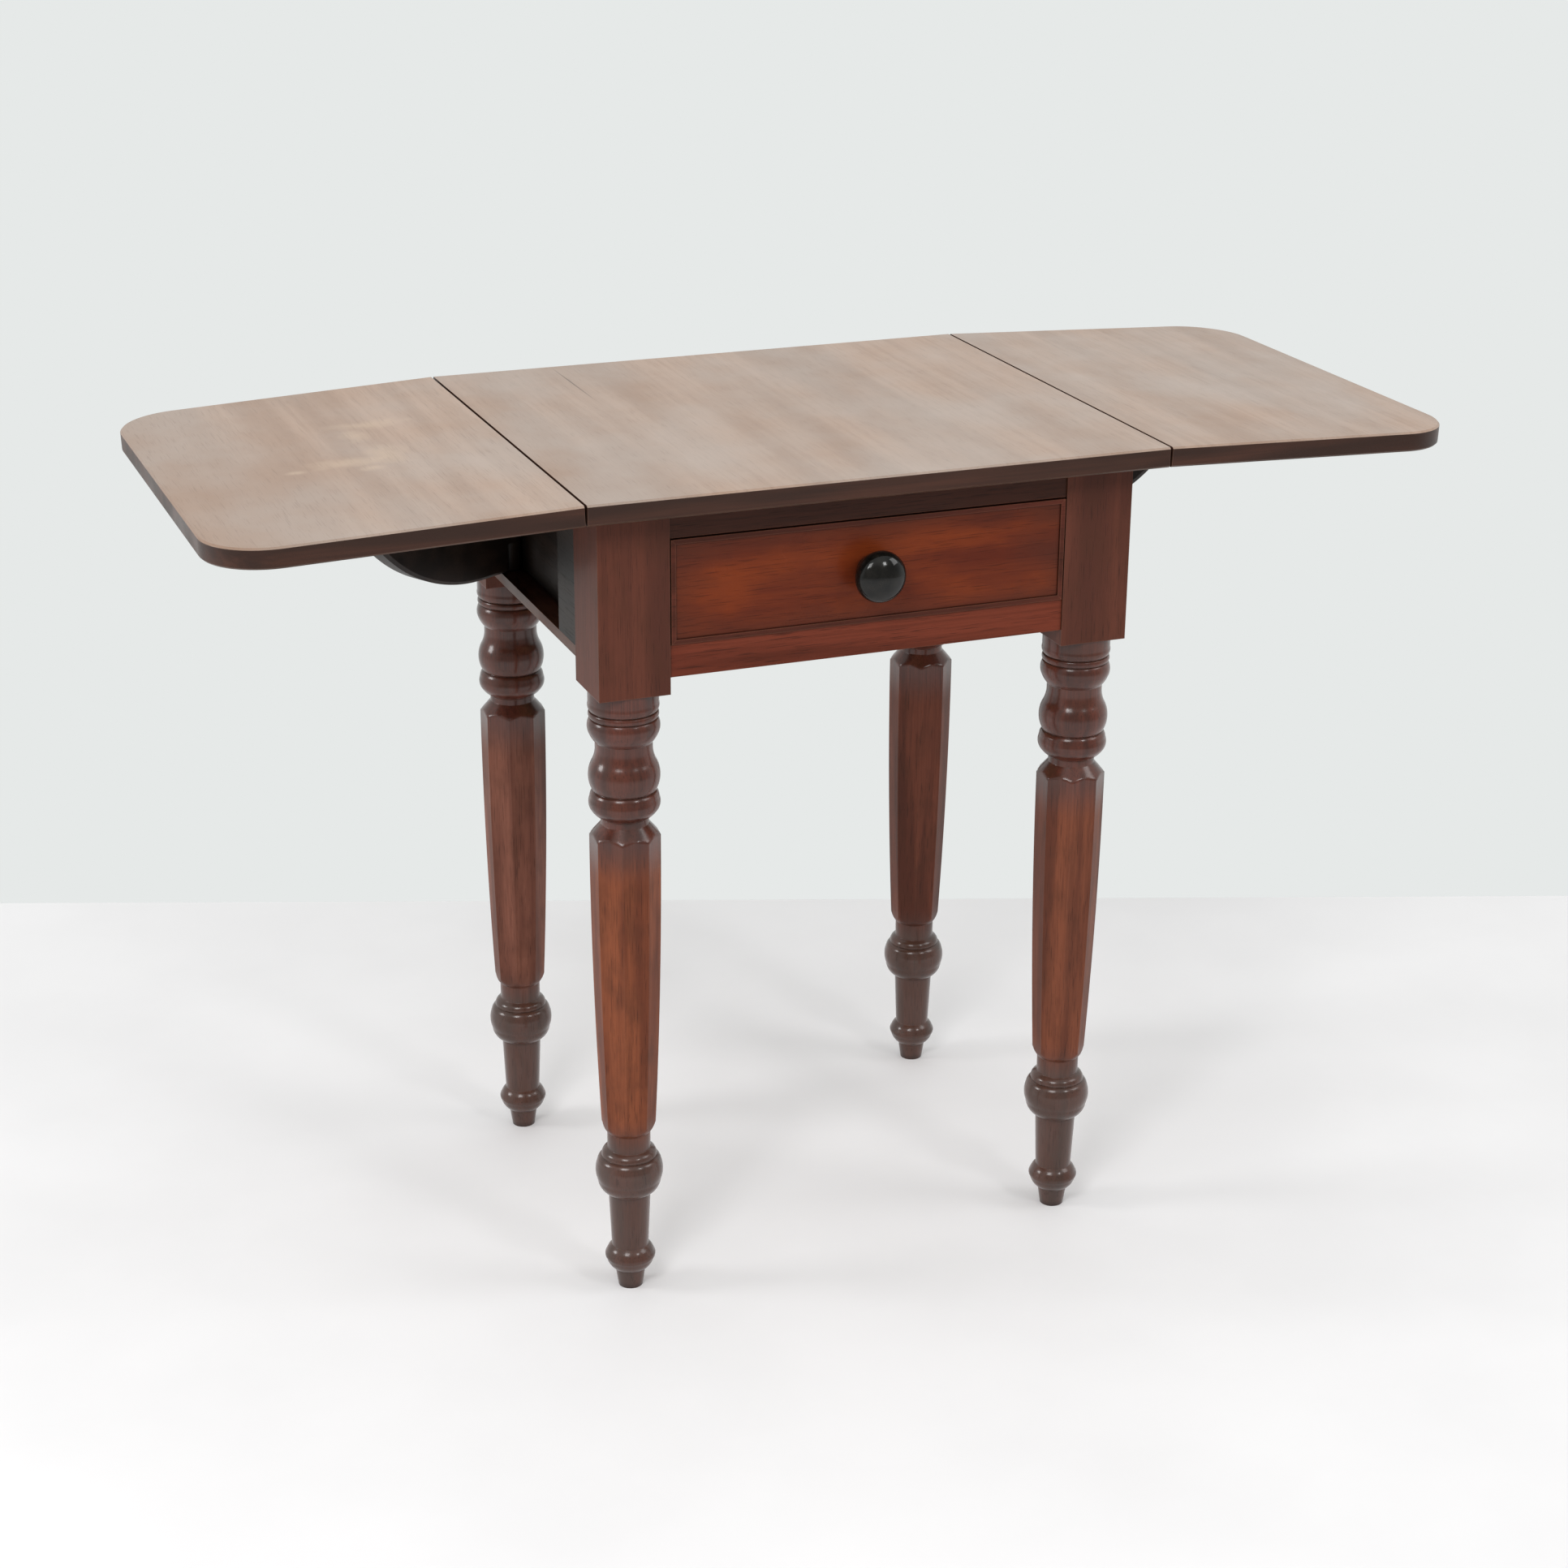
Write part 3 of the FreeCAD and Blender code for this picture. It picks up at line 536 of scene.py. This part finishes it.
# %% Put the legs together
def finished(work, name, material, body):
    """Makes a piece from a bmesh, smooth but for its creases, and puts it on its body."""
    for face in work.faces:
        face.smooth = True
    for edge in work.edges:
        edge.smooth = edge.calc_face_angle(0.0) < CREASE
    mesh = bpy.data.meshes.new(name)
    work.to_mesh(mesh)
    work.free()
    mesh.materials.append(material)
    piece = bpy.data.objects.new(name, mesh)
    bpy.context.scene.collection.objects.link(piece)
    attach(piece, body)
    return piece


def add_copy(work, mesh, place):
    """Adds a copy of a mesh to a bmesh, moved to its place."""
    there = set(work.verts)
    work.from_mesh(mesh)
    bmesh.ops.transform(work, matrix=place, verts=[v for v in work.verts if v not in there])


def leg_block(node):
    """The square top of a packed leg, closed just above its lower end."""
    work = bmesh.new()
    work.from_mesh(nodes[node].data)
    bmesh.ops.remove_doubles(work, verts=work.verts, dist=MERGE)
    cut = bmesh.ops.bisect_plane(work, geom=work.verts[:] + work.edges[:] + work.faces[:],
                                 plane_co=(0.0, 0.0, block_low * MM + 2 * MERGE),
                                 plane_no=(0, 0, 1), clear_inner=True)
    rim = [e for e in cut["geom_cut"] if isinstance(e, bmesh.types.BMEdge)]
    bmesh.ops.edgeloop_fill(work, edges=rim)
    return work


turned_mesh = bpy.data.meshes.new("turning")
turning.to_mesh(turned_mesh)
turning.free()
# the rear right leg's darker pair is painted shade under the table, besides its own fading
LEG_WOODS = {"front_left": ("#84492f", "#653422"), "front_right": ("#79442f", "#5b3123"),
             "rear_left": ("#805040", "#60382c"), "rear_right": ("#6c3b2b", "#4e291e")}
for number, (corner, (light, dark)) in enumerate(LEG_WOODS.items()):
    low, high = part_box("leg_" + corner)
    leg = leg_block("leg_" + corner)
    add_copy(leg, turned_mesh, Matrix.Translation(((low.x + high.x) / 2, (low.y + high.y) / 2, 0.0)))
    bmesh.ops.recalc_face_normals(leg, faces=leg.faces)
    wood = leg_wood("mahogany_turned_" + corner, light, dark, number * 7.0)
    piece = finished(leg, "turned_leg_" + corner, wood, "frame")
    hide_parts("leg_" + corner)
    print(piece.name, "has", len(piece.data.polygons), "faces")
bpy.data.meshes.remove(turned_mesh)

# %% [markdown]
# ## The knob
#
# The knob is turned from one piece: a spigot glued into the drawer front, a flange, a short
# neck, and a flattened ball. It is spun like the legs and then laid on its side, because a
# lathe profile is easiest to write upright. Sizes are in millimetres from the drawer's face.

# %% Spin the knob
SPIGOT = (7.0, -16.0)
FLANGE = (13.5, 3.0)
NECK = (9.5, 4.5, 8.5)
BALL = (21.5, 18.5)
CAP = (16.0, 27.5)
KNOB_OUT = 32.0
KNOB_CUTS = 18
CAP_ROUND = (CAP[0] ** 2 + (KNOB_OUT - CAP[1]) ** 2) / (2 * (KNOB_OUT - CAP[1]))

ball = arc((NECK[2], NECK[0]), (BALL[1], BALL[0]), (CAP[1], CAP[0]))
outline = [(0.0, SPIGOT[1]), SPIGOT, (SPIGOT[0], 0.0), (FLANGE[0], 0.0), FLANGE, NECK[:2]]
for i in range(KNOB_CUTS + 1):
    z = NECK[2] + (CAP[1] - NECK[2]) * i / KNOB_CUTS
    outline.append((ball(z), z))
for i in range(1, KNOB_CUTS):
    tilt = math.asin(CAP[0] / CAP_ROUND) * (1 - i / KNOB_CUTS)
    outline.append((CAP_ROUND * math.sin(tilt), KNOB_OUT - CAP_ROUND * (1 - math.cos(tilt))))
outline.append((0.0, KNOB_OUT))
knob = spun(outline)
knob_low, knob_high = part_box("drawer_knob")
knob_place = Matrix.Translation((0.0, front_low.y, (knob_low.z + knob_high.z) / 2))
bmesh.ops.transform(knob, matrix=knob_place @ Matrix.Rotation(math.pi / 2, 4, "X"), verts=knob.verts)
knob_piece = finished(knob, "turned_knob", black_polish("ebonised_knob"), "drawer")
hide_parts("drawer_knob")
print("knob stands out", round((front_low.y - knob_low.y) / MM, 1), "mm")

# %% [markdown]
# ## Screws
#
# A head could be a plain disc, but from below the slot is what the eye finds. So the head is
# a short cone with an inset face, cut by two planes into strips, and the middle strip is
# pushed in.

# %% A slotted head
HEAD_R = 3.4 * MM
HEAD_TALL = 1.2 * MM
HEAD_PROUD = 0.4 * MM
HEAD_SEGMENTS = 20
HEAD_TAPER = 0.86
HEAD_RIM = 0.1 * HEAD_R
FACING_DOWN = -0.9
SLOT_HALF = 0.45 * MM
SLOT_DEEP = 0.7 * MM


def slotted_head():
    head = bmesh.new()
    bmesh.ops.create_cone(head, cap_ends=True, segments=HEAD_SEGMENTS,
                          radius1=HEAD_R * HEAD_TAPER, radius2=HEAD_R, depth=HEAD_TALL)
    crown = [f for f in head.faces if f.normal.z < FACING_DOWN]
    bmesh.ops.inset_region(head, faces=crown, thickness=HEAD_RIM)
    for side in (-SLOT_HALF, SLOT_HALF):
        bmesh.ops.bisect_plane(head, geom=head.verts[:] + head.edges[:] + head.faces[:],
                               plane_co=(side, 0.0, 0.0), plane_no=(1, 0, 0))
    head.normal_update()
    lower = [f for f in head.faces if f.normal.z < FACING_DOWN]
    strip = [f for f in lower if f.calc_center_median().xy.length < SLOT_HALF]
    grown = bmesh.ops.extrude_face_region(head, geom=strip)
    floor_verts = [g for g in grown["geom"] if isinstance(g, bmesh.types.BMVert)]
    bmesh.ops.translate(head, verts=floor_verts, vec=(0.0, 0.0, SLOT_DEEP))
    bmesh.ops.recalc_face_normals(head, faces=head.faces)
    mesh = bpy.data.meshes.new("slotted_head")
    head.to_mesh(mesh)
    head.free()
    return mesh


head_mesh = slotted_head()
print("a screw head has", len(head_mesh.polygons), "faces")

# %% [markdown]
# Each hinge flap is held by two screws, and four more go up through the kickers into the
# centre top. The leaves hang a little below level, so their screws are turned about the
# hinge by the same angle. No two slots point the same way, as a hand leaves them.

# %% Set the screws
SLOT_TURN = math.radians(53)
HINGE_X = 250.8 * MM
HINGE_Y = 150.0 * MM
SCREW_IN = 18.0 * MM
SCREW_APART = 15.0 * MM
KICKER_IN = 8.5 * MM
SAG = math.radians(2.3)


def screws(name, places, body):
    """A group of screw heads that face down at these places."""
    group = bmesh.new()
    for number, spot in enumerate(places):
        add_copy(group, head_mesh, spot @ Matrix.Rotation(number * SLOT_TURN, 4, "Z"))
    finished(group, name, screw_steel, body)
    print(name, "has", len(places), "screws")


def seat(x, y, z):
    return Matrix.Translation((x, y, z - HEAD_PROUD + HEAD_TALL / 2))


screw_steel = old_metal("steel_slotted_screw", "#7b7671", "#453f39", 0.4)
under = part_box("centre_top")[0].z
flap_rows = [y + step for y in (-HINGE_Y, HINGE_Y) for step in (-SCREW_APART, SCREW_APART)]
top_spots = [seat(side * (HINGE_X - SCREW_IN), y, under) for side in (-1, 1) for y in flap_rows]
screws("top_flap_screws", top_spots, "frame")
for body, side in (("leaf_left", -1), ("leaf_right", 1)):
    hinge = Matrix.Translation((side * HINGE_X, 0.0, under))
    settle = hinge @ Matrix.Rotation(side * SAG, 4, "Y") @ hinge.inverted()
    leaf_spots = [settle @ seat(side * (HINGE_X + SCREW_IN), y, under) for y in flap_rows]
    screws(body + "_screws", leaf_spots, body)
kicker_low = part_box("kicker_right")[0]
kicker_x = kicker_low.x + KICKER_IN
kicker_rows = (-HINGE_Y / 2, HINGE_Y / 2)
kicker_spots = [seat(side * kicker_x, y, kicker_low.z) for side in (-1, 1) for y in kicker_rows]
screws("kicker_screws", kicker_spots, "frame")
bpy.data.meshes.remove(head_mesh)

# %% [markdown]
# ## Which piece gets which material
#
# A node's name says what it is, so the materials are given out by the start of the name.
# The first match counts, and the last line catches what is left: the pale wood inside.


# %% Give out the materials
def dress(start, material):
    for name, piece in nodes.items():
        if name.startswith(start) and name not in dressed:
            piece.data.materials.clear()
            piece.data.materials.append(material)
            dressed.add(name)


dressed = set()
for start, material in BOARDS.items():
    dress(start, material)
dress("low_rail", frame_wood("mahogany_low_rail", X, "#703322", "#542416", 3.0))
dress("top_rail", frame_wood("mahogany_top_rail", X, "#43251b", "#301c15", 5.0))
dress("bed_strip", frame_wood("mahogany_bed_strip", Y, "#5a3a2d", "#452a20", 7.0))
dress("drawer_front", drawer_wood("mahogany_drawer_front"))
dress("drawer_beads", frame_wood("mahogany_bead", X, "#5c2c20", "#432016", 6.0))
dress("fly_pin", old_metal("steel_fly_pin", "#6a6763", "#3d3935", 0.45))
dress("hinge_pin", old_metal("steel_hinge_pin", "#6a6763", "#3d3935", 0.45))
dress("top_flap", old_metal("brass_top_flap", "#a98a4e", "#5e4a2a", 0.4))
dress("leaf_flap", old_metal("brass_leaf_flap", "#a98a4e", "#5e4a2a", 0.4))
# near black: painted shade under the leaves
dress("fly_", plain_wood("painted_shade_fly", Y, "#2a1f19", "#1a130f", 0.45))
dress("hinge_block", plain_wood("painted_shade_hinge_block", Z, "#2a1f19", "#1a130f", 0.45))
# near black: painted shade under the leaves
for start in ("end_block", "inner_rail"):
    dress(start, plain_wood("painted_shade_" + start, Y, "#2a1f19", "#1a130f", 0.5))
dress("back_rail", plain_wood("pine_back_rail", X, "#5a3a27", "#44291a", 0.55))
for start in ("drawer_back", "drawer_bottom"):
    dress(start, plain_wood("pine_" + start, X, "#a98a64", "#8a6b48", 0.6))
dress("", plain_wood("pine_inside", Y, "#927452", "#755839", 0.6))
print("dressed", len(dressed), "nodes")

# %% [markdown]
# ## Floor and surroundings
#
# The floor is one pale sheet that ends where the wall begins, a little behind the table,
# and the pale surroundings stand for the wall and the ceiling. The room that the drawer
# faces is dimmer. Polish shows it: with pale light from all sides the front of the table
# would look hazy, and the knob would be grey all over.

# %% Floor and surroundings
WALL_DISTANCE = 0.611
WALL_TURN = math.radians(-19.9)
FLOOR_SIZE = 6.0


def pale_floor():
    mesh = bpy.data.meshes.new("floor")
    sheet = bmesh.new()
    bmesh.ops.create_grid(sheet, x_segments=1, y_segments=1, size=FLOOR_SIZE / 2)
    bmesh.ops.translate(sheet, verts=sheet.verts, vec=(0.0, WALL_DISTANCE - FLOOR_SIZE / 2, 0.0))
    bmesh.ops.rotate(sheet, verts=sheet.verts, matrix=Matrix.Rotation(WALL_TURN, 3, "Z"))
    sheet.to_mesh(mesh)
    sheet.free()
    floor = bpy.data.objects.new("floor", mesh)
    bpy.context.scene.collection.objects.link(floor)
    material, tree = new_material("painted_floor")
    base = stain(tree, "#efedee", "#eae8e9", marks(tree, (300.0, 300.0, 300.0), 0.3, 0.7, 6.0), 1.0)
    shader = add(tree, "BsdfPrincipled", {"Base Color": base, "Roughness": 0.6, "Specular IOR Level": 0.3})
    add(tree, "OutputMaterial", {"Surface": shader.outputs[0]})
    mesh.materials.append(material)


def surroundings(wall, room):
    """A pale wall and ceiling, with a dimmer room on the side that the drawer faces."""
    world = bpy.data.worlds.new("studio")
    world.use_nodes = True
    tree = world.node_tree
    tree.nodes.clear()
    front = band(tree, "Generated", Y, -0.2, -0.6)
    below = band(tree, "Generated", Z, 0.75, 0.4)
    dim = add(tree, "Math", {0: front, 1: below}, operation="MULTIPLY").outputs[0]
    back = add(tree, "Background", {"Color": stain(tree, wall, room, dim, 1.0), "Strength": 1.0})
    add(tree, "OutputWorld", {"Surface": back.outputs[0]})
    bpy.context.scene.world = world


pale_floor()
surroundings("#e6e9e8", "#a3a19e")
print("the floor ends", WALL_DISTANCE, "m behind the middle of the table")

# %% [markdown]
# ## Light
#
# A broad light high on the left and a weaker one on the right keep the shadows soft. Two
# small lamps and a window at the side draw the bright spots on the turning and the knob.

# %% Light
AIM = Vector((0.0, 0.0, 0.4))


def soft_light(name, where, size, power):
    lamp = bpy.data.lights.new(name, "AREA")
    lamp.size = size
    lamp.energy = power
    light = bpy.data.objects.new(name, lamp)
    light.location = where
    light.rotation_euler = (AIM - Vector(where)).to_track_quat("-Z", "Y").to_euler()
    bpy.context.scene.collection.objects.link(light)


soft_light("key_light", (-1.8, -2.2, 2.8), 1.2, 38.0)
soft_light("fill_light", (2.4, -1.4, 2.2), 1.2, 18.0)
soft_light("left_lamp", (-1.9, -1.95, 2.2), 0.4, 5.0)
soft_light("right_lamp", (0.9, -2.4, 2.2), 0.4, 10.0)
soft_light("side_window", (-2.9, 0.7, 1.5), 0.8, 24.0)

# %% [markdown]
# ## Camera
#
# The camera stands about 2.7 m away, to the left of the table, and looks down on the top.
# Its place, its turn and its lens were fitted together, because a wider lens from nearer by
# would show the same outline with other slants.

# %% Camera
EYE = (-0.9228, -2.3176, 1.3535)
YAW = 0.3789
PITCH = -0.3725
ROLL = 0.0079
LENS = 68.92
SENSOR = 36.0


def photographer():
    lens = bpy.data.cameras.new("camera")
    lens.lens = LENS
    lens.sensor_width = SENSOR
    camera = bpy.data.objects.new("camera", lens)
    camera.matrix_world = (Matrix.Translation(EYE) @ Matrix.Rotation(-YAW, 4, "Z")
                           @ Matrix.Rotation(math.pi / 2 + PITCH, 4, "X") @ Matrix.Rotation(ROLL, 4, "Z"))
    bpy.context.scene.collection.objects.link(camera)
    bpy.context.scene.camera = camera


photographer()
bpy.context.scene.view_settings.view_transform = "Standard"
print("camera", round(math.hypot(*EYE), 2), "m from the middle of the floor")
